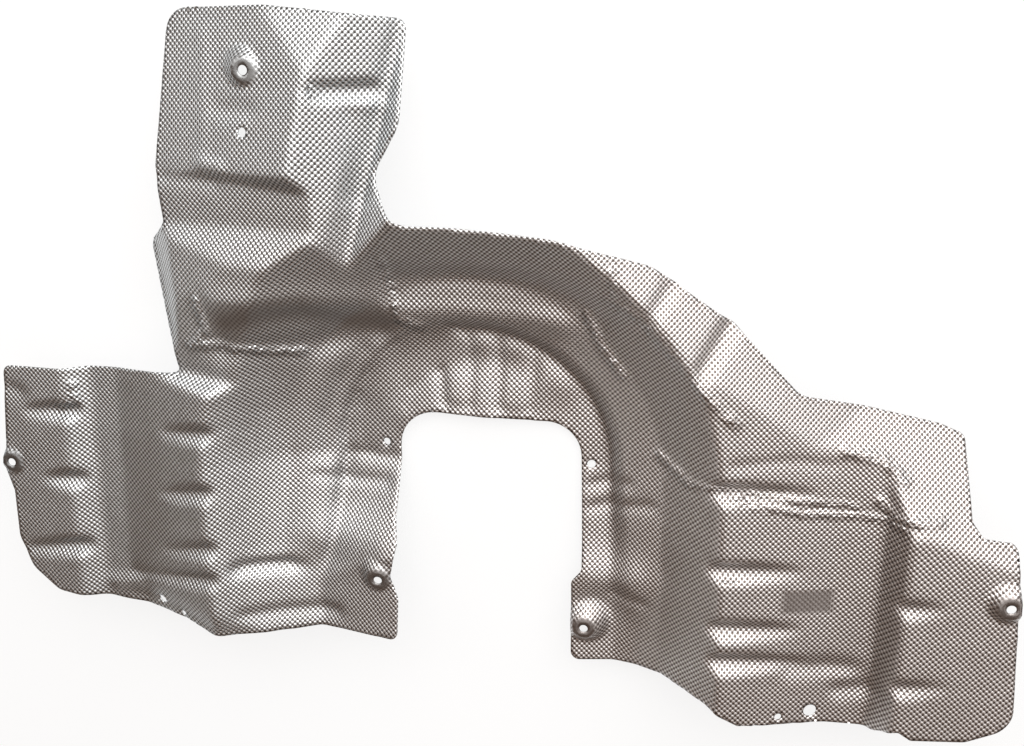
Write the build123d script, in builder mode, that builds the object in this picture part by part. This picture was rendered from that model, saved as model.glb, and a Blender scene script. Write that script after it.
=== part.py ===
from build123d import *
import os

# Exhaust heat shield, one pressed sheet of embossed aluminium, in millimetres.
# It lies hollow side up. +Y runs up the arm and +X towards the box.
# The origin is the centre of the tunnel's bend, and z = 0 is about the level of its floor.

# Sheet
sheet = 1.0

# Outline in plan
left_edge = -516.0
right_edge = 549.0
arm_left = -302.0
arm_right = -58.0
arm_top = 458.0
wing_top = 91.0
left_foot = -192.0
leg_foot = -222.0
right_foot = -243.0
tab_inset = 60.0
arm_corner = 24.0
wing_corner = 28.0
corner = 10.0
waist_corner = 40.0

# Notch
notch_left = -79.0
notch_right = 115.0
notch_top = 50.0
notch_corner = 40.0

# Room over the pressing: how high it is drawn and how far a panel's plane runs
lid = 190.0
reach = 1600.0

# Tunnel: its cross-section as distance from the centre line and height
leg_length = 270.0
throat = 20.0
lip_height = 22.0
valley = (143.0, 2.0)
bench = (156.0, 20.0)
foot = (200.0, 36.0)
wall_slope = 0.8
left_lip = 80.0
left_end = [(146.0, 80.0), (162.0, 80.0), (182.0, 73.0)]
left_end_slope = 0.5
right_lip = 52.0
right_end = [(158.0, 32.0), (186.0, 36.0), (206.0, 46.0)]
right_end_slope = 0.82

# Pad on the left leg beside the notch: a point on its ramp and on its top, and how they fall along X and Y
pad_ramp = ((-103.0, -105.0, 58.0), -0.45, 0.55)
pad_top = ((-103.0, -145.0, 64.0), -0.25, 0.13)

# Left side: heights of the wing's ridge, the valley inside it, and the wall's rise
wing_ridge = (-440.0, 70.0)
wing_valley = (-414.0, 56.0)
wall_start = (-382.0, 60.0)
wing_slope = 0.12
left_wall_slope = 0.32
left_rise = 0.06

# Right side: the box's panel, its valley and the step up to the wing
box_ridge = (262.0, 82.5)
box_slope = 0.245
box_floor = 55.0
step_start = 415.0
step_end = 437.0
right_wing_height = 84.0
right_wing_slope = 0.045
right_rise = 0.06

# Arm: a point on each flat panel, and how the panel falls along X and Y
arm_outer = ((-149.0, 300.0, 113.0), -0.316, 0.2)
arm_inner = ((-149.0, 335.0, 107.0), 0.68, 0.0)
arm_flank = ((-103.0, 335.0, 76.0), 1.17, -0.15)
arm_tip = ((-149.0, 415.0, 90.0), 0.0, 0.45)
arm_lip = ((-102.0, 262.0, 64.0), -0.8, 0.327)

# Shoulder between the arm and the left side, in the same way
shoulder_dip = ((-223.0, 260.0, 80.0), -0.2, -0.05)
shoulder_rise = ((-223.0, 254.0, 80.0), -0.2, 0.5)
shoulder_back = ((-223.0, 215.0, 97.0), -0.2, -0.12)
shoulder_edge = ((-300.0, 0.0, 70.0), -1.0, 0.0)
arm_step = ((-223.0, 305.0, 88.0), -0.316, -1.2)
shoulder_foot = ((0.0, wing_top, 80.0), 0.0, 1.6)

# Flange over the box, in the same way
flange_flat = ((329.0, 58.0, 61.0), 0.283, 0.748)
flange_root = ((184.0, 165.0, 90.0), 0.5, 0.45)

# Beads, all of one radius: the centre of each trough at its deep end and where it runs out
bead_radius = 10.0
beads = [
    ((246.0, 10.0, 83.0), (348.0, 8.0, 70.0)),
    ((246.0, -74.0, 86.0), (338.0, -74.0, 77.0)),
    ((248.0, -137.0, 90.0), (344.0, -137.0, 80.0)),
    ((250.0, -174.0, 92.0), (392.0, -172.0, 76.0)),
    ((426.0, -96.0, 91.0), (478.0, -90.0, 98.0)),
    ((428.0, -182.0, 97.0), (495.0, -172.0, 103.0)),
    ((422.0, -12.0, 86.0), (474.0, -8.0, 93.0)),
    ((-430.0, 46.0, 66.0), (-487.0, 42.0, 69.0)),
    ((-430.0, -32.0, 71.0), (-470.0, -34.0, 76.0)),
    ((-430.0, -110.0, 76.0), (-503.0, -121.0, 77.0)),
    ((-244.0, 42.0, 100.0), (-321.0, 33.0, 86.0)),
    ((-244.0, -22.0, 103.0), (-335.0, -37.0, 87.0)),
    ((-246.0, -85.0, 107.0), (-334.0, -102.0, 91.0)),
    ((-262.0, -124.0, 108.0), (-382.0, -140.0, 77.0)),
    ((-246.0, -118.0, 92.0), (-198.0, -122.0, 62.0)),
    ((-124.0, 383.0, 95.0), (-80.0, 383.0, 62.0)),
]

# Bolt holes and their bosses: the flat top's radius, how far the flank would go down and out,
# the hole's diameter, and the place of each with the height of its top
boss_top = 11.0
boss_depth = 32.0
boss_flare = 30.0
bolt_hole = 9.0
bosses = [
    (-199.0, 401.0, 84.0),
    (-513.0, -19.0, 66.0),
    (-96.0, -124.0, 69.0),
    (123.0, -178.0, 40.0),
    (530.0, -81.0, 95.0),
]

# Small holes: place and diameter
small_holes = [
    (-203.0, 345.0, 9.0),
    (-98.0, 12.0, 8.0),
    (124.0, 0.0, 9.0),
    (-344.0, -167.0, 10.0),
    (-316.0, -177.0, 6.0),
    (361.0, -229.0, 13.0),
    (329.0, -235.0, 7.0),
]


def let_out(points, back):
    """A closed outline moved outwards by the sheet's thickness."""
    moved = []
    for before, point, after in zip(points[-1:] + points[:-1], points, points[1:] + points[:1]):
        a = Vector(point[0] - before[0], point[1] - before[1]).normalized()
        b = Vector(after[0] - point[0], after[1] - point[1]).normalized()
        out = Vector(a.Y + b.Y, -a.X - b.X) * (back / (1 + a.dot(b)))
        moved.append((point[0] + out.X, point[1] + out.Y))
    return moved


# Outline: each corner of the sheet with its radius
corners = [
    ((arm_left + 3, wing_top + 8), 5),
    ((arm_left - 28, 231), 8),
    ((arm_left - 1, 252), 10),
    ((arm_left - 5, 310), 20),
    ((arm_left + 12, arm_top - 2), arm_corner),
    ((arm_left + 122, arm_top), 60),
    ((arm_right + 4, arm_top - 12), corner),
    ((arm_right + 1, 352), waist_corner),
    ((arm_right - 28, 305), 22),
    ((arm_right - 4, 262), 30),
    ((-5, 260), 60),
    ((95, 253), 90),
    ((180, 228), 50),
    ((262, 170), 60),
    ((327, 103), 30),
    ((right_edge - tab_inset - 26, 72), 20),
    ((right_edge - tab_inset - 1, 62), corner),
    ((right_edge - tab_inset + 4, -8), 6),
    ((right_edge - 46, -21), 8),
    ((right_edge - 14, -26), corner),
    ((right_edge + 1, right_foot + 30), wing_corner),
    ((right_edge - 42, right_foot + 11), 20),
    ((right_edge - 93, right_foot + 8), 6),
    ((right_edge - 107, right_foot + 17), 6),
    ((right_edge - 128, right_foot + 2), 10),
    ((290, right_foot - 2), 10),
    ((257, right_foot + 17), 12),
    ((212, leg_foot + 2), 30),
    ((notch_right - 6, leg_foot), corner),
    ((notch_right - 8, -130), 8),
    ((notch_right + 3, -116), 8),
    ((notch_right - 3, notch_top - 4), notch_corner),
    ((notch_left - 3, notch_top + 2), notch_corner),
    ((notch_left - 2, -60), 10),
    ((notch_left + 3, -84), 10),
    ((notch_left - 4, -120), 10),
    ((notch_left + 5, -144), 8),
    ((notch_left + 4, left_foot), corner),
    ((-195, left_foot - 3), 60),
    ((-276, left_foot - 1), 8),
    ((-310, left_foot + 9), 20),
    ((-470, left_foot + 24), 20),
    ((left_edge + 14, left_foot + 48), 26),
    ((left_edge, left_foot + 84), 20),
    ((left_edge, -54), 10),
    ((left_edge - 9, -28), corner),
    ((left_edge - 4, 4), 20),
    ((left_edge + 4, wing_top), corner),
    ((-431, wing_top + 2), 40),
]
with BuildPart() as blank:
    with BuildSketch(Plane.XY.offset(-30)):
        with BuildLine():
            FilletPolyline(*[place for place, _ in corners], radius=[size for _, size in corners], close=True)
        make_face()
    extrude(amount=lid)


# Stock: a rough outline a little larger than the sheet, in which the rooms are worked out
spare = 16.0
stock_corners = [
    (left_edge - 9 - spare, left_foot - spare),
    (left_edge - 9 - spare, wing_top + spare),
    (arm_left - 28 - spare, wing_top + spare),
    (arm_left - 28 - spare, arm_top + spare),
    (arm_right + 10 + spare, arm_top + spare),
    (arm_right + 10 + spare, 260 + spare),
    (185, 226 + spare),
    (350, 97 + spare),
    (right_edge - tab_inset + spare, 79 + spare),
    (right_edge - tab_inset + spare, -6 + spare),
    (right_edge + 4 + spare, -24 + spare),
    (right_edge + 4 + spare, right_foot - spare),
    (notch_right - 8 - spare, right_foot - spare),
    (notch_right - 8 - spare, notch_top - spare),
    (notch_left + 4 + spare, notch_top - spare),
    (notch_left + 4 + spare, left_foot - 6 - spare),
]
with BuildPart() as stock:
    with BuildSketch(Plane.XY.offset(-30)):
        with BuildLine():
            Polyline(*stock_corners, close=True)
        make_face()
    extrude(amount=lid)


def above(point, fall_x, fall_y, back):
    """The room above a flat panel through a point, which falls away along X and Y."""
    normal = Vector(fall_x, fall_y, 1).normalized()
    base = Vector(*point) - normal * back
    with BuildPart() as room:
        with BuildSketch(Plane(origin=base, x_dir=(1, 0, -fall_x), z_dir=normal)):
            Rectangle(2 * reach, 2 * reach)
        extrude(amount=reach)
        add(stock.part, mode=Mode.INTERSECT)
    return room.part


def folded(points, rise, back):
    """The room above a strip folded along Y, which rises towards -Y."""
    with BuildPart() as room:
        with BuildSketch(Plane(origin=(0, 0, 0), x_dir=(1, 0, 0), z_dir=(0, -1, rise))):
            with BuildLine():
                Polyline(*let_out(points, back), close=True)
            make_face()
        extrude(amount=reach / 2, both=True)
        add(stock.part, mode=Mode.INTERSECT)
    return room.part


def section(lip, floor, slope, back):
    """A cross-section of the room in the tunnel, from its throat out past its wall."""
    outer = floor[-1][0] + (lid - floor[-1][1]) / slope
    return let_out([(throat, lid), (throat, lip)] + floor + [(outer, lid)], back)


def tunnel(back):
    """The room in the tunnel: a half turn round the bend and a leg down each side."""
    bend = section(lip_height, [valley, bench, foot], wall_slope, back)
    left = section(left_lip, left_end, left_end_slope, back)
    right = section(right_lip, right_end, right_end_slope, back)
    with BuildPart() as room:
        with BuildSketch(Plane.XZ):
            with BuildLine():
                Polyline(*bend, close=True)
            make_face()
        revolve(axis=Axis.Z, revolution_arc=180)
    with BuildPart() as left_leg:
        for points, y in ((bend, 0.0), (left, -leg_length)):
            with BuildSketch(Plane(origin=(0, y, 0), x_dir=(-1, 0, 0), z_dir=(0, 1, 0))):
                with BuildLine():
                    Polyline(*points, close=True)
                make_face()
        loft(ruled=True)
    with BuildPart() as pad:
        add(above(*pad_ramp, back))
        add(above(*pad_top, back))
    with BuildPart() as padded_leg:
        add(left_leg.part)
        add(pad.part, mode=Mode.INTERSECT)
    with BuildPart() as right_leg:
        for points, y in ((bend, 0.0), (right, -leg_length)):
            with BuildSketch(Plane(origin=(0, y, 0), x_dir=(1, 0, 0), z_dir=(0, -1, 0))):
                with BuildLine():
                    Polyline(*points, close=True)
                make_face()
        loft(ruled=True)
    with BuildPart() as whole:
        add(room.part)
        add(padded_leg.part)
        add(right_leg.part)
        add(stock.part, mode=Mode.INTERSECT)
    return whole.part


def bead(start, end, back):
    """A bead's trough as a round-ended bar, from its deep end to where it runs out."""
    axis = Vector(*end) - Vector(*start)
    middle = (Vector(*end) + Vector(*start)) * 0.5
    radius = bead_radius + back
    with BuildPart() as bar:
        with BuildSketch(Plane(origin=middle, x_dir=axis, z_dir=axis.cross(Vector(0, 0, 1)))):
            SlotCenterToCenter(axis.length, 2 * radius)
            below = (Align.CENTER, Align.MAX)
            Rectangle(2 * axis.length + 4 * radius, radius, align=below, mode=Mode.SUBTRACT)
        revolve(axis=Axis(start, axis))
    return bar.part


def pressing(back):
    """The room over the whole pressing, let out by the sheet's thickness for its back."""
    wing_end = (-reach, wing_ridge[1] - wing_slope * (wing_ridge[0] + reach))
    wall_end = (wall_start[0] + (lid - wall_start[1]) / left_wall_slope, lid)
    left = [(-reach, lid), wing_end, wing_ridge, wing_valley, wall_start, wall_end]
    box_start = (box_ridge[0] - (lid - box_ridge[1]) / box_slope, lid)
    box_end = (box_ridge[0] + (box_ridge[1] - box_floor) / box_slope, box_floor)
    right = [box_start, box_end, (step_start, box_floor), (step_end, right_wing_height)]
    right += [(reach, right_wing_height - right_wing_slope * (reach - step_end)), (reach, lid)]
    with BuildPart() as arm:
        for panel in (arm_outer, arm_inner, arm_flank, arm_tip):
            add(above(*panel, back))
        add(above(*arm_lip, back), mode=Mode.INTERSECT)
    with BuildPart() as shoulder:
        add(above(*shoulder_dip, back))
        add(above(*shoulder_rise, back), mode=Mode.INTERSECT)
        add(above(*shoulder_back, back))
        add(above(*shoulder_edge, back))
        add(above(*arm_step, back), mode=Mode.INTERSECT)
    with BuildPart() as flange:
        add(above(*flange_flat, back))
        add(above(*flange_root, back), mode=Mode.INTERSECT)
    with BuildPart() as room:
        add(arm.part)
        add(shoulder.part)
        add(above(*shoulder_foot, back), mode=Mode.INTERSECT)
        add(folded(left, left_rise, back))
        add(folded(right, right_rise, back))
        add(flange.part)
        add(tunnel(back))
        for start, end in beads:
            add(bead(start, end, back))
        for place in bosses:
            top = boss_top - back * (Vector(boss_flare, boss_depth).length - boss_flare) / boss_depth
            with Locations((place[0], place[1], place[2] - back - boss_depth)):
                Cone(top + boss_flare, top, boss_depth, align=(Align.CENTER, Align.CENTER, Align.MIN),
                     mode=Mode.SUBTRACT)
    return room.part


with BuildPart() as heat_shield:
    add(pressing(sheet))
    add(pressing(0.0), mode=Mode.SUBTRACT)
    add(blank.part, mode=Mode.INTERSECT)
    with Locations(*[(x, y, lid / 2) for x, y, z in bosses]):
        Hole(radius=bolt_hole / 2, depth=lid)
    for x, y, size in small_holes:
        with Locations((x, y, lid / 2)):
            Hole(radius=size / 2, depth=lid)
heat_shield.part.label = "heat_shield"

os.makedirs("parts", exist_ok=True)
export_step(heat_shield.part, "parts/heat_shield.step")
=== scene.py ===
# %% [markdown]
# # Exhaust heat shield
# One pressed sheet of embossed aluminium lies hollow side up on a pale studio floor. A fine net is laid
# over the solid from the frame, the small pressed marks are added, its folds are rounded, and it is given
# its thickness. The net replaces the solid, which has the sharp folds of a source that is only measured.

from math import pi

import bmesh
import bpy
import numpy as np
from mathutils import Matrix, Vector, kdtree
from mathutils.bvhtree import BVHTree
from mathutils.geometry import delaunay_2d_cdt


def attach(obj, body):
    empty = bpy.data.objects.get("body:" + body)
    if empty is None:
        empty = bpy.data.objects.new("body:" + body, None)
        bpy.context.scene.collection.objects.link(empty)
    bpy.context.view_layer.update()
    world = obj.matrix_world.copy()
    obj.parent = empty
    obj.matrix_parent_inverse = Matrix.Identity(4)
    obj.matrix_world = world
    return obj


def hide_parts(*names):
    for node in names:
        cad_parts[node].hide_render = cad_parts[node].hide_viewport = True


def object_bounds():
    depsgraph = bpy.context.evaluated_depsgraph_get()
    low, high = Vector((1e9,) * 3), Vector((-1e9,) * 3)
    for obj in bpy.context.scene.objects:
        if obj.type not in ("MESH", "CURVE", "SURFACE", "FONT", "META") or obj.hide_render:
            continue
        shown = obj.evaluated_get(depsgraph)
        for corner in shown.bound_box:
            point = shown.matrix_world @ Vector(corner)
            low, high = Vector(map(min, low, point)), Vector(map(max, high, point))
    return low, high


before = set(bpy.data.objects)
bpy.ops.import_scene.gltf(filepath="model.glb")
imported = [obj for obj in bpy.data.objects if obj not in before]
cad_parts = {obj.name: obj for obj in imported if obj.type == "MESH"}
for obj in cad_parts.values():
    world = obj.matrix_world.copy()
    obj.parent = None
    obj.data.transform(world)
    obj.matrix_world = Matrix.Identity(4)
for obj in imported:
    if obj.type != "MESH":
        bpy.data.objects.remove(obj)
cad_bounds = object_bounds()
low, high = cad_bounds
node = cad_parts["heat_shield"]
MM = 0.001
print("frame", [round(v, 3) for corner in cad_bounds for v in corner])

# %% [markdown]
# ## The upper side
# The real shield starts as a flat blank. Here its outline and holes come from the solid's upper side: the
# faces that look down or stand upright are deleted. That leaves slits in the deepest beads, so they are
# filled. They have fewer edges than the smallest hole, which stays.

# %% Upper side
WELD = 0.01 * MM
FACES_UP = 0.1
SLIT_EDGES = 16


def upper_side(source):
    """The solid's upper side as its own bmesh, with its outline and its holes."""
    bm = bmesh.new()
    bm.from_mesh(source.data)
    bmesh.ops.remove_doubles(bm, verts=bm.verts, dist=WELD)
    bm.normal_update()
    under = [f for f in bm.faces if f.normal.z < FACES_UP]
    bmesh.ops.delete(bm, geom=under, context="FACES")
    bmesh.ops.holes_fill(bm, edges=[e for e in bm.edges if e.is_boundary], sides=SLIT_EDGES)
    return bm


top = upper_side(node)
top_faces = BVHTree.FromBMesh(top)
print("upper side", len(top.faces), "faces")

# %% [markdown]
# ## The rim
# A blank is cut by a die, so its rim is crisp. The outline and the holes are divided into short steps, and
# their points stay where the solid has them in plan.

# %% Rim
SPACING = 3.3 * MM
SAME_POINT = 0.02 * MM


def rim_points(bm):
    """The rim's points, and the pairs that join them, about the spacing apart or nearer."""
    points, pairs, index = [], [], {}
    for edge in bm.edges:
        if not edge.is_boundary:
            continue
        a, b = (v.co for v in edge.verts)
        steps = max(1, round((b - a).length / SPACING))
        chain = []
        for i in range(steps + 1):
            p = a.lerp(b, i / steps)
            key = (round(p.x / SAME_POINT), round(p.y / SAME_POINT))
            if key not in index:
                index[key] = len(points)
                points.append(p)
            chain.append(index[key])
        pairs += [pair for pair in zip(chain, chain[1:]) if pair[0] != pair[1]]
    return points, pairs


rim, rim_pairs = rim_points(top)
near_rim = kdtree.KDTree(len(rim))
for i, p in enumerate(rim):
    near_rim.insert((p.x, p.y, 0), i)
near_rim.balance()
print("rim", len(rim), "points")

# %% [markdown]
# ## The net
# The sheet could be the solid's own faces, subdivided. But those are long and thin, and they shade badly
# once they are bent. So points on an even triangular grid, as fine as keeps the piece light, are dropped
# onto the solid, and a constrained triangulation joins them with the rim. It gives even triangles and the
# exact outline.

# %% Net
RIM_GAP = 0.62 * SPACING
ABOVE = 0.1
TOUCHING = 1e-7
INSIDE_WITH_HOLES = 0


def drop(x, y):
    """The height of the solid's upper side at a plan point, or None where there is no sheet."""
    hit = top_faces.ray_cast(Vector((x, y, high[2] + ABOVE)), Vector((0, 0, -1)))
    return hit[0].z if hit[0] is not None else None


def grid_points():
    """The points of the even grid that lie on the sheet and not too near its rim."""
    points = []
    row = 0
    y = low[1]
    while y < high[1]:
        x = low[0] + (SPACING / 2 if row % 2 else 0)
        while x < high[0]:
            z = drop(x, y)
            if z is not None and near_rim.find((x, y, 0))[2] > RIM_GAP:
                points.append(Vector((x, y, z)))
            x += SPACING
        y += SPACING * 3**0.5 / 2
        row += 1
    return points


def net():
    """The upper side as a bmesh of even triangles inside the exact outline."""
    points = rim + grid_points()
    plan = [p.to_2d() for p in points]
    joined = delaunay_2d_cdt(plan, rim_pairs, [], INSIDE_WITH_HOLES, TOUCHING, True)
    flat, faces, origin = joined[0], joined[2], joined[3]
    bm = bmesh.new()
    for co, source in zip(flat, origin):
        z = points[source[0]].z if source else rim[near_rim.find((co.x, co.y, 0))[1]].z
        bm.verts.new((co.x, co.y, z))
    bm.verts.ensure_lookup_table()
    for face in faces:
        centre = sum((flat[i] for i in face), Vector((0, 0))) / len(face)
        if drop(centre.x, centre.y) is not None:
            bm.faces.new([bm.verts[i] for i in face])
    bmesh.ops.delete(bm, geom=[v for v in bm.verts if not v.link_faces], context="VERTS")
    bm.normal_update()
    return bm


bm = net()
print("net", len(bm.verts), "points", len(bm.faces), "faces")

# %% [markdown]
# ## Pressed marks
# The press leaves small swells, grooves and pleats on the main forms, where the sheet gathers or the tool
# has a rib. Sculpting could make them. Here each is a soft ridge along a line in plan, because that stays
# readable and easy to change. An entry holds, in millimetres, its half-width, its rise, which is negative
# for a groove, and the points of its line.

# %% Pressed marks
MARKS = [
    # Arm: the step's thin end, the hook over it, the long crease and the hollow in the inner side
    (6, -3, [(-301, 299), (-237, 297)]),
    (5, 3, [(-252, 315), (-228, 311)]),
    (6, 1.2, [(-249, 431), (-249, 319)]),
    (8, -2, [(-231, 366), (-196, 365)]),
    (10, -4, [(-100, 365), (-105, 287)]),
    (5, 2, [(-104, 371), (-76, 369)]),
    # Bend: the bench's ridge with the trough outside it, and the crease at its start
    (13, 6, [(-75, 163), (-10, 166), (52, 163), (90, 158)]),
    (13, -6, [(-72, 203), (-10, 206), (52, 203), (100, 192), (135, 170)]),
    (5, -4, [(-81, 228), (-77, 158)]),
    # Tunnel's turn to the left leg, and the lip's ridge and hollow round the notch
    (15, 5, [(-243, 182), (-168, 183), (-95, 176)]),
    (15, -5, [(-245, 132), (-176, 128), (-100, 138)]),
    (12, 5, [(-138, 0), (-133, 36), (-119, 69), (-98, 98)]),
    (12, -5, [(-164, 0), (-158, 42), (-141, 82), (-115, 115)]),
    (24, 6, [(-92, 96), (-45, 120), (0, 128), (45, 120), (90, 94)]),
    (18, -5, [(-75, 88), (-37, 108), (16, 113), (58, 104)]),
    # Four flutes above the notch, two scallops in its edge and the fold at its left corner
    (5, -4.5, [(-41, 130), (-33, 61)]),
    (5, -3, [(-5, 132), (-4, 61)]),
    (5, -4.5, [(26, 130), (25, 60)]),
    (5, -3.5, [(63, 126), (59, 58)]),
    (6, -2, [(-31, 57), (-5, 57)]),
    (6, -2, [(25, 55), (55, 53)]),
    (6, 4, [(-116, 73), (-84, 45)]),
    # Left leg: two grooves beside the notch, the swell below them and the long shallow valley
    (5, -3, [(-140, -4), (-86, -5)]),
    (5, -3, [(-173, -24), (-141, -33), (-95, -31)]),
    (24, 7, [(-160, -90), (-98, -90)]),
    (26, -6, [(-212, 98), (-221, 10), (-225, -95)]),
    # Right leg: two grooves beside the notch, the swell below them and a short groove lower down
    (5, -3, [(124, -23), (164, -13)]),
    (5, -3, [(125, -48), (189, -32)]),
    (24, 8, [(130, -122), (168, -122)]),
    (5, -2.5, [(152, -140), (185, -145)]),
    # Box: the long bead's end and the hollow at its foot
    (9, -4, [(338, -180), (398, -179)]),
    (8, -4, [(388, -205), (423, -196)]),
    # Left side: the pad, a bead's end, the lowered foot, the leg's foot groove and the corner's dimple
    (8, 3, [(-407, -156), (-376, -153)]),
    (8, -4, [(-246, -116), (-189, -125)]),
    (17, -8, [(-362, -172), (-316, -181), (-252, -201)]),
    (7, -4, [(-246, -172), (-150, -176)]),
    (7, -2.5, [(-506, 65), (-494, 62)]),
    # Flange: three pleats, and three creases at its root
    (6, -4, [(146, 224), (147, 192)]),
    (7, -6, [(199, 208), (176, 172)]),
    (9, -9, [(258, 173), (232, 130)]),
    (4, -3, [(228, 7), (258, 12), (300, 4), (387, -6)]),
    (4, -2.5, [(276, 0), (344, -14), (433, -16)]),
    (4, -2, [(266, 38), (321, 42), (364, 36)]),
]


def distance_to_line(spots, line):
    """How far each plan point lies, in millimetres, from a line of straight parts."""
    nearest = np.full(len(spots), np.inf)
    for start, end in zip(line, line[1:]):
        start = np.array(start) * MM
        along = np.array(end) * MM - start
        part = np.clip((spots - start) @ along / (along @ along), 0, 1)
        gap = spots - start - part[:, None] * along
        nearest = np.minimum(nearest, np.linalg.norm(gap, axis=1))
    return nearest / MM


def bell(distance, width):
    """One at the line, falling softly to nothing about twice the width away."""
    return np.exp(-((distance / width) ** 2))


spots = np.array([v.co.to_2d() for v in bm.verts])
rise = np.zeros(len(spots))
for width, height, line in MARKS:
    rise += height * MM * bell(distance_to_line(spots, line), width)
for vertex, dz in zip(bm.verts, rise):
    vertex.co.z += dz
print("marks", len(MARKS), "rise from", round(rise.min() / MM, 1), "to", round(rise.max() / MM, 1), "mm")

# %% [markdown]
# ## Rounded folds
# Pressed sheet bends round the tool's edges, so it has no sharp folds. A bevel would need clean edge loops,
# which a net doesn't have, so the heights alone are evened out a few times. The bosses keep their crisp
# flanks. The lip's fold fades out at its left end, where it is evened out many times more.

# %% Rounded folds
BOSSES = [(-199, 401), (-513, -19), (-96, -124), (123, -178), (530, -81)]
BOSS_RADIUS = 13
FADED_FOLD = [(-101, 20), (-104, 60), (-88, 92), (-62, 112), (-35, 124)]
FADED_REACH = 24
PASSES = 4
FADED_PASSES = 70


def even_out(points, passes):
    """Draws the heights of the points together, a little in each pass."""
    for _ in range(passes):
        bmesh.ops.smooth_vert(bm, verts=points, factor=0.5, use_axis_z=True)


from_boss = np.min([np.linalg.norm(spots / MM - boss, axis=1) for boss in BOSSES], axis=0)
soft = [vertex for vertex, far in zip(bm.verts, from_boss) if far > 2 * BOSS_RADIUS]
from_fold = distance_to_line(spots, FADED_FOLD)
faded = [vertex for vertex, far in zip(bm.verts, from_fold) if far < FADED_REACH]
even_out(soft, PASSES)
even_out(faded, FADED_PASSES)
print("folds rounded on", len(soft), "points,", len(faded), "of them faded")

# %% [markdown]
# ## The piece
# A little room is kept at the lower side in plan and below, so that the sheet's thickness, which is added
# later, stays inside the solid's box.

# %% Piece
SHEET = 1.0 * MM
SIDE_ROOM = 0.7 * SHEET
ROOM_BELOW = 1.2 * SHEET

for vertex in bm.verts:
    vertex.co.y = max(vertex.co.y, low[1] + SIDE_ROOM)
    vertex.co.z = max(vertex.co.z, low[2] + ROOM_BELOW)
mesh = bpy.data.meshes.new("shield_sheet")
bm.to_mesh(mesh)
bm.free()
for polygon in mesh.polygons:
    polygon.use_smooth = True
shield = bpy.data.objects.new("shield_sheet", mesh)
bpy.context.scene.collection.objects.link(shield)
print("piece", shield.name, len(mesh.polygons), "faces")

# %% [markdown]
# ## Wrinkles, flat embossing and painted shade
# Fine wrinkles follow the creases. The embossing is pressed flat on the bosses, and it is faint on the
# patch. The tunnel's dark turn gets painted shade, a dull colour with faint embossing. These places could
# be painted by hand. Here they are worked out from their lines and kept as values of the points, which the
# material reads.

# %% Wrinkles, flat embossing and painted shade
CRINKLES = [
    [(142, 195), (176, 176), (212, 137), (243, 103), (266, 80)],
    [(372, 50), (406, 45), (430, 26)],
    [(409, 3), (423, -11), (462, -6)],
    [(-430, 74), (-430, 56), (-447, 49)],
    [(-282, 130), (-251, 134), (-176, 120)],
    [(118, 172), (132, 139), (155, 109)],
    [(-81, 228), (-79, 188), (-76, 156), (-54, 147)],
    [(196, 27), (228, 7), (258, 12), (300, 4), (387, -6)],
    [(276, 0), (344, -14), (433, -16)],
    [(-267, 180), (-261, 149), (-282, 130)],
    [(146, 224), (147, 196)],
]
CRINKLE_WIDTH = 5
# Painted shade in the tunnel's dark turn: a dull colour with faint embossing along this line.
SHADED_TURN = [(-235, 160), (-198, 172), (-164, 172), (-128, 156), (-89, 151)]
SHADED_TURN_WIDTH = 15
PATCH_CENTRE = (349, -107)
PATCH_HALF = (25, 12)
FLAT_AND_SHADE_SHARE = 0.7
BOSS_REST = BOSS_RADIUS + 3
BOSS_BLEND = 6
PATCH_REST = 1.15
PATCH_BLEND = 0.3

from_crinkle = np.min([distance_to_line(spots, line) for line in CRINKLES], axis=0)
beside_patch = np.abs((spots / MM - PATCH_CENTRE) / PATCH_HALF).max(axis=1)
on_boss = np.clip((BOSS_REST - from_boss) / BOSS_BLEND, 0, 1)
on_patch = np.clip((PATCH_REST - beside_patch) / PATCH_BLEND, 0, 1)
shade_in_turn = bell(distance_to_line(spots, SHADED_TURN), SHADED_TURN_WIDTH)
# The second value holds the flat bosses and patch, and the painted shade in the tunnel's turn.
marked = {
    "crinkle": bell(from_crinkle, CRINKLE_WIDTH),
    "flattened_and_shaded": np.max([on_boss, FLAT_AND_SHADE_SHARE * on_patch, FLAT_AND_SHADE_SHARE * shade_in_turn], axis=0),
}
for name, values in marked.items():
    layer = mesh.attributes.new(name, "FLOAT", "POINT")
    layer.data.foreach_set("value", values.astype(np.float32))
print("places marked,", int((marked["flattened_and_shaded"] > 0.5).sum()), "flattened points")

# %% [markdown]
# ## Embossing coordinates
# The sheet was embossed flat, before it was pressed. Plan coordinates would stretch the pattern on every
# slope, and an unwrap would need seams. So each edge of the net gets the length along its slope that it had
# in the flat sheet, and the coordinates are the flat layout that fits all the edges best, found by
# conjugate gradients. Drawing stretches the sheet, so only a share of a slope's extra length was there
# before.

# %% Embossing coordinates
DRAWN_SHARE = 0.8
FIT_STEPS = 700


def columns(items, attribute, width, kind=np.float32):
    """One attribute of every item as an array with that many columns."""
    values = np.zeros(len(items) * width, kind)
    items.foreach_get(attribute, values)
    return values.reshape(-1, width) if width > 1 else values


place = columns(mesh.vertices, "co", 3).astype(float)
normal = columns(mesh.vertices, "normal", 3).astype(float)
first, second = columns(mesh.edges, "vertices", 2, np.int32).T
across = (place[second] - place[first])[:, :2]
lean = normal[first] + normal[second]
lean /= np.linalg.norm(lean, axis=1)[:, None]
slope, level = lean[:, :2], lean[:, 2:]
flat_edges = across + DRAWN_SHARE * slope * (slope * across).sum(1)[:, None] / (level * (1 + level))


def gathered(edge_values):
    """What the edges bring to each point: plus at their second end and minus at their first."""
    count = len(place)
    sums = [np.bincount(second, e, count) - np.bincount(first, e, count) for e in edge_values.T]
    return np.stack(sums, axis=1)


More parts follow.
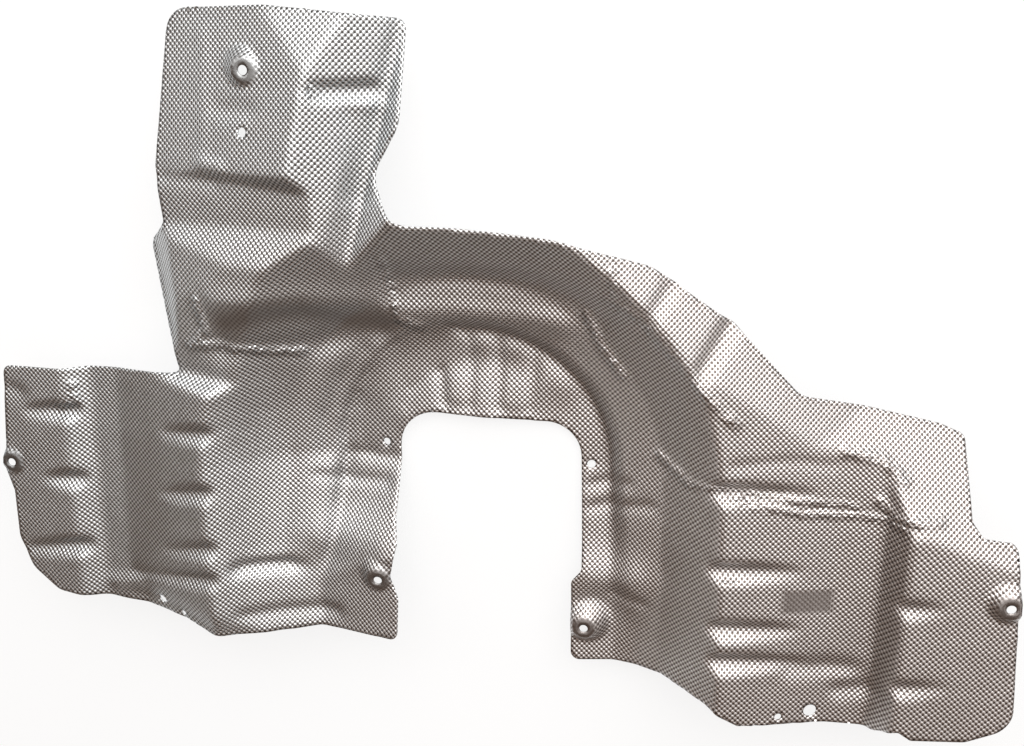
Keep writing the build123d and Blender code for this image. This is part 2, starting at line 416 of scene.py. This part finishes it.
flat_sheet = place[:, :2].copy()
miss = gathered(flat_edges) - gathered(flat_sheet[second] - flat_sheet[first])
step = miss.copy()
for _ in range(FIT_STEPS):
    before = (miss * miss).sum(0)
    pull = gathered(step[second] - step[first])
    share = before / (step * pull).sum(0)
    flat_sheet += share * step
    miss -= share * pull
    step = miss + (miss * miss).sum(0) / before * step
corner_points = columns(mesh.loops, "vertex_index", 1, np.int32)
layer = mesh.uv_layers.new(name="flat_sheet")
layer.uv.foreach_set("vector", flat_sheet[corner_points].astype(np.float32).ravel())
print("flat sheet", (flat_sheet.max(0) - flat_sheet.min(0)).round(3), "m, left over", np.abs(miss).max())

# %% [markdown]
# ## Thickness
# The real sheet is taken as one millimetre thick with its embossing. A second net could make its back.
# But a Solidify modifier does it in one step, downwards from the net, and leaves the same shape at an
# offset, as pressing does.

# %% Thickness
solid = shield.modifiers.new("thickness", "SOLIDIFY")
solid.thickness = SHEET
solid.offset = -1
solid.use_even_offset = False
print("thickness", round(solid.thickness / MM, 3), "mm")

# %% [markdown]
# ## Node helpers
# A material is a tree of nodes. These short functions add a node and return it or its result, so that the
# material below reads like a sum.


# %% Node helpers
def linear(code):
    """A hex colour, as seen on a screen, as linear light."""
    parts = [int(code[i : i + 2], 16) / 255 for i in (1, 3, 5)]
    return [c / 12.92 if c <= 0.04045 else ((c + 0.055) / 1.055) ** 2.4 for c in parts] + [1.0]


def add_node(tree, kind, links=(), **settings):
    """A node with its settings. Each link is an input with the socket or the plain value that it gets."""
    made = tree.nodes.new(kind)
    for key, value in settings.items():
        setattr(made, key, value)
    for socket, source in links:
        if isinstance(source, bpy.types.NodeSocket):
            tree.links.new(source, made.inputs[socket])
        else:
            made.inputs[socket].default_value = source
    return made


def maths(tree, operation, *values):
    """The result of a sum on sockets or plain values."""
    return add_node(tree, "ShaderNodeMath", list(enumerate(values)), operation=operation).outputs[0]


def ramp(tree, value, start, end):
    """Nought at the start and one at the end of a value's span."""
    links = [("Value", value), ("From Min", start), ("From Max", end)]
    return add_node(tree, "ShaderNodeMapRange", links).outputs[0]


def blend(tree, factor, a, b, kind="RGBA"):
    """A mix of two colours or, with kind FLOAT, of two numbers."""
    links = [("Factor", factor), ("A", a), ("B", b)]
    return add_node(tree, "ShaderNodeMix", links, data_type=kind).outputs["Result"]


print("mid grey is", round(linear("#808080")[0], 3), "in linear light")

# %% [markdown]
# ## Material
# The embossing is rows of small domes, too fine and too many for the net. So two cosine waves along the
# diagonals of the flat sheet make them in the bump, and in the colour as bright crowns over valleys with
# painted shade.
# The right and lower parts are a little warmer, a painted reflection of warm surroundings. Noise makes the
# wrinkles and a slight waviness. Depths are in millimetres, and a noise's scale is its count of cells in a
# metre.

# %% Material
PITCH = 3.95 * MM
ROWS_PER_METRE = 2 * pi / PITCH
DOME_SPAN = 1.6
# The valleys' colours are painted shade between the domes.
SHADED_VALLEY_COOL = "#53514f"
SHADED_VALLEY_WARM = "#564a44"
CROWN_COOL = "#f4f8fa"
CROWN_REFLECTED_WARM = "#f6f4f3"
# The warm colours and these spans give a painted reflection of warm surroundings, growing to the right and
# downwards.
REFLECTION_WARMER_RIGHTWARDS = (-0.3, 0.1)
REFLECTION_WARMER_DOWNWARDS = (0.32, 0.22)
# Places pressed flat and the tunnel's turn take this share of the crowns' colour; the rest is the valleys'
# painted shade.
FLAT_AND_SHADE_LIGHT = 0.22
ROUGHNESS = 0.34
EMBOSS_DEPTH = 0.7
WRINKLE_DEPTH = 5.0
WRINKLE_SCALE = 110.0
WRINKLE_TWIST = 0.6
WAVE_DEPTH = 1.2
WAVE_SCALE = 22.0


def embossed_aluminium():
    """Bare embossed aluminium: bright domes in diagonal rows, with painted shade in the valleys between
    them.
    """
    material = bpy.data.materials.new("embossed_aluminium")
    material.use_nodes = True
    tree = material.node_tree
    shader = tree.nodes["Principled BSDF"]
    place = add_node(tree, "ShaderNodeTexCoord").outputs["Object"]
    spot = add_node(tree, "ShaderNodeSeparateXYZ", [(0, place)]).outputs
    flattened_and_shaded = add_node(tree, "ShaderNodeAttribute", attribute_name="flattened_and_shaded").outputs["Fac"]
    crinkle = add_node(tree, "ShaderNodeAttribute", attribute_name="crinkle").outputs["Fac"]

    # Domes, from nought in a valley to one on a crown
    sheet = add_node(tree, "ShaderNodeUVMap", uv_map="flat_sheet").outputs[0]
    turned = [("Vector", sheet), ("Rotation", (0, 0, pi / 4)), ("Scale", [ROWS_PER_METRE] * 3)]
    rows = add_node(tree, "ShaderNodeMapping", turned).outputs[0]
    parts = add_node(tree, "ShaderNodeSeparateXYZ", [(0, rows)]).outputs
    both = maths(tree, "ADD", maths(tree, "COSINE", parts[0]), maths(tree, "COSINE", parts[1]))
    dome = ramp(tree, both, -DOME_SPAN, DOME_SPAN)

    # Colour
    # Painted reflection: the colour turns warmer to the right and downwards.
    rightwards = ramp(tree, spot[0], *REFLECTION_WARMER_RIGHTWARDS)
    downwards = ramp(tree, spot[1], *REFLECTION_WARMER_DOWNWARDS)
    reflected_warmth = maths(tree, "MULTIPLY", rightwards, downwards)
    # Painted shade in the valleys between the domes.
    valley_shade = blend(tree, reflected_warmth, linear(SHADED_VALLEY_COOL), linear(SHADED_VALLEY_WARM))
    crown = blend(tree, reflected_warmth, linear(CROWN_COOL), linear(CROWN_REFLECTED_WARM))
    # Places pressed flat and the tunnel's turn take mostly the valleys' painted shade.
    light = blend(tree, flattened_and_shaded, dome, FLAT_AND_SHADE_LIGHT, "FLOAT")
    colour = blend(tree, light, valley_shade, crown)

    # Bump
    emboss = maths(tree, "MULTIPLY", dome, maths(tree, "SUBTRACT", 1.0, flattened_and_shaded))
    emboss = maths(tree, "MULTIPLY", emboss, EMBOSS_DEPTH)
    grain = [("Vector", place), ("Scale", WRINKLE_SCALE), ("Detail", 2.0), ("Distortion", WRINKLE_TWIST)]
    folds = maths(tree, "MULTIPLY", add_node(tree, "ShaderNodeTexNoise", grain).outputs[0], crinkle)
    folds = maths(tree, "MULTIPLY", folds, WRINKLE_DEPTH)
    swell = [("Vector", place), ("Scale", WAVE_SCALE), ("Detail", 1.0)]
    waviness = maths(tree, "MULTIPLY", add_node(tree, "ShaderNodeTexNoise", swell).outputs[0], WAVE_DEPTH)
    height = maths(tree, "ADD", maths(tree, "ADD", emboss, folds), waviness)
    bump = add_node(tree, "ShaderNodeBump", [("Height", height), ("Distance", MM), ("Strength", 1.0)])

    tree.links.new(colour, shader.inputs["Base Color"])
    tree.links.new(bump.outputs[0], shader.inputs["Normal"])
    shader.inputs["Metallic"].default_value = 1.0
    shader.inputs["Roughness"].default_value = ROUGHNESS
    return material


mesh.materials.append(embossed_aluminium())
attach(shield, "root")
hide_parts("heat_shield")
print("material", mesh.materials[0].name, "with", len(mesh.materials[0].node_tree.nodes), "nodes")

# %% [markdown]
# ## Floor
# The photograph's ground is plain white. A matt floor alone would look grey, so part of its light comes
# from within where the camera or the metal looks at it. The rest stays matt and takes a soft shadow.

# %% Floor
FLOOR_RADIUS = 8.0
FLOOR_GLOW = 0.8
FLOOR_COLOUR = "#f2f2f2"
WHITE = (1, 1, 1, 1)


def stage_material():
    """A pale matt floor that glows white to the camera and to the metal."""
    material = bpy.data.materials.new("pale_floor")
    material.use_nodes = True
    tree = material.node_tree
    tree.nodes.clear()
    diffuse = add_node(tree, "ShaderNodeBsdfDiffuse", [("Color", linear(FLOOR_COLOUR))]).outputs[0]
    glow = add_node(tree, "ShaderNodeEmission", [("Color", WHITE), ("Strength", 1.0)]).outputs[0]
    path = add_node(tree, "ShaderNodeLightPath").outputs
    seen = maths(tree, "MAXIMUM", path["Is Camera Ray"], path["Is Glossy Ray"])
    part = maths(tree, "MULTIPLY", seen, FLOOR_GLOW)
    mix = add_node(tree, "ShaderNodeMixShader", [(0, part), (1, diffuse), (2, glow)]).outputs[0]
    add_node(tree, "ShaderNodeOutputMaterial", [("Surface", mix)])
    return material


bm = bmesh.new()
bmesh.ops.create_circle(bm, cap_ends=True, segments=96, radius=FLOOR_RADIUS)
bmesh.ops.translate(bm, verts=bm.verts, vec=(0, 0, low[2]))
floor_mesh = bpy.data.meshes.new("floor")
bm.to_mesh(floor_mesh)
bm.free()
floor_mesh.materials.append(stage_material())
floor = bpy.data.objects.new("floor", floor_mesh)
bpy.context.scene.collection.objects.link(floor)
print("floor", FLOOR_RADIUS, "m in radius")

# %% [markdown]
# ## Light
# Bare metal shows what it mirrors. A dull warm room, which the camera itself sees as white, gives the walls
# their brown. One large soft lamp beyond the arm makes the faces turned to it bright, and three weaker ones
# fill the rest.

# %% Light
ROOM_COLOUR = "#78685e"
ROOM_STRENGTH = 1.2

world = bpy.data.worlds.new("studio")
world.use_nodes = True
sky = world.node_tree
room = sky.nodes["Background"]
room.inputs["Color"].default_value = linear(ROOM_COLOUR)
room.inputs["Strength"].default_value = ROOM_STRENGTH
white = add_node(sky, "ShaderNodeBackground", [("Color", WHITE), ("Strength", 1.0)]).outputs[0]
to_camera = add_node(sky, "ShaderNodeLightPath").outputs["Is Camera Ray"]
shown = add_node(sky, "ShaderNodeMixShader", [(0, to_camera), (1, room.outputs[0]), (2, white)]).outputs[0]
sky.links.new(shown, sky.nodes["World Output"].inputs["Surface"])
bpy.context.scene.world = world


def softbox(name, place, width, height, watts):
    """A rectangular soft lamp that looks from its place to the middle of the part."""
    data = bpy.data.lights.new(name, "AREA")
    data.shape = "RECTANGLE"
    data.size = width
    data.size_y = height
    data.energy = watts
    lamp = bpy.data.objects.new(name, data)
    lamp.location = place
    lamp.rotation_euler = (-Vector(place)).to_track_quat("-Z", "Y").to_euler()
    bpy.context.scene.collection.objects.link(lamp)


softbox("key", (0.8, 2.0, 1.4), 3.6, 2.4, 110)
softbox("top", (0.1, 0.1, 2.4), 2.6, 2.6, 18)
softbox("left", (-1.7, 1.5, 1.7), 1.8, 1.6, 19)
softbox("right", (2.3, -0.6, 1.3), 2.0, 1.6, 8)
print("lamps", [lamp.name for lamp in bpy.data.lights])

# %% [markdown]
# ## Camera
# Its place, turn and lens were fitted to the photograph's outline, so that the render lies over the
# photograph.

# %% Camera
CAMERA_PLACE = (0.2174, 0.4367, 1.0291)
CAMERA_RIGHT = (0.98510, 0.0, -0.17197)
CAMERA_BACK = (0.16342, 0.31127, 0.93617)
SENSOR = 36.0
LENS = 36.91

data = bpy.data.cameras.new("camera")
data.sensor_fit = "HORIZONTAL"
data.sensor_width = SENSOR
data.lens = LENS
data.clip_end = 100
camera = bpy.data.objects.new("camera", data)
right = Vector(CAMERA_RIGHT).normalized()
back = Vector(CAMERA_BACK).normalized()
turn = Matrix((right, back.cross(right), back)).transposed().to_4x4()
camera.matrix_world = Matrix.Translation(CAMERA_PLACE) @ turn
bpy.context.scene.collection.objects.link(camera)
bpy.context.scene.camera = camera
bpy.context.scene.view_settings.view_transform = "Standard"
print("camera", CAMERA_PLACE, "lens", LENS, "mm")

# %% [markdown]
# ## Finish
# The view layer is brought up to date.

# %% Finish
bpy.context.view_layer.update()
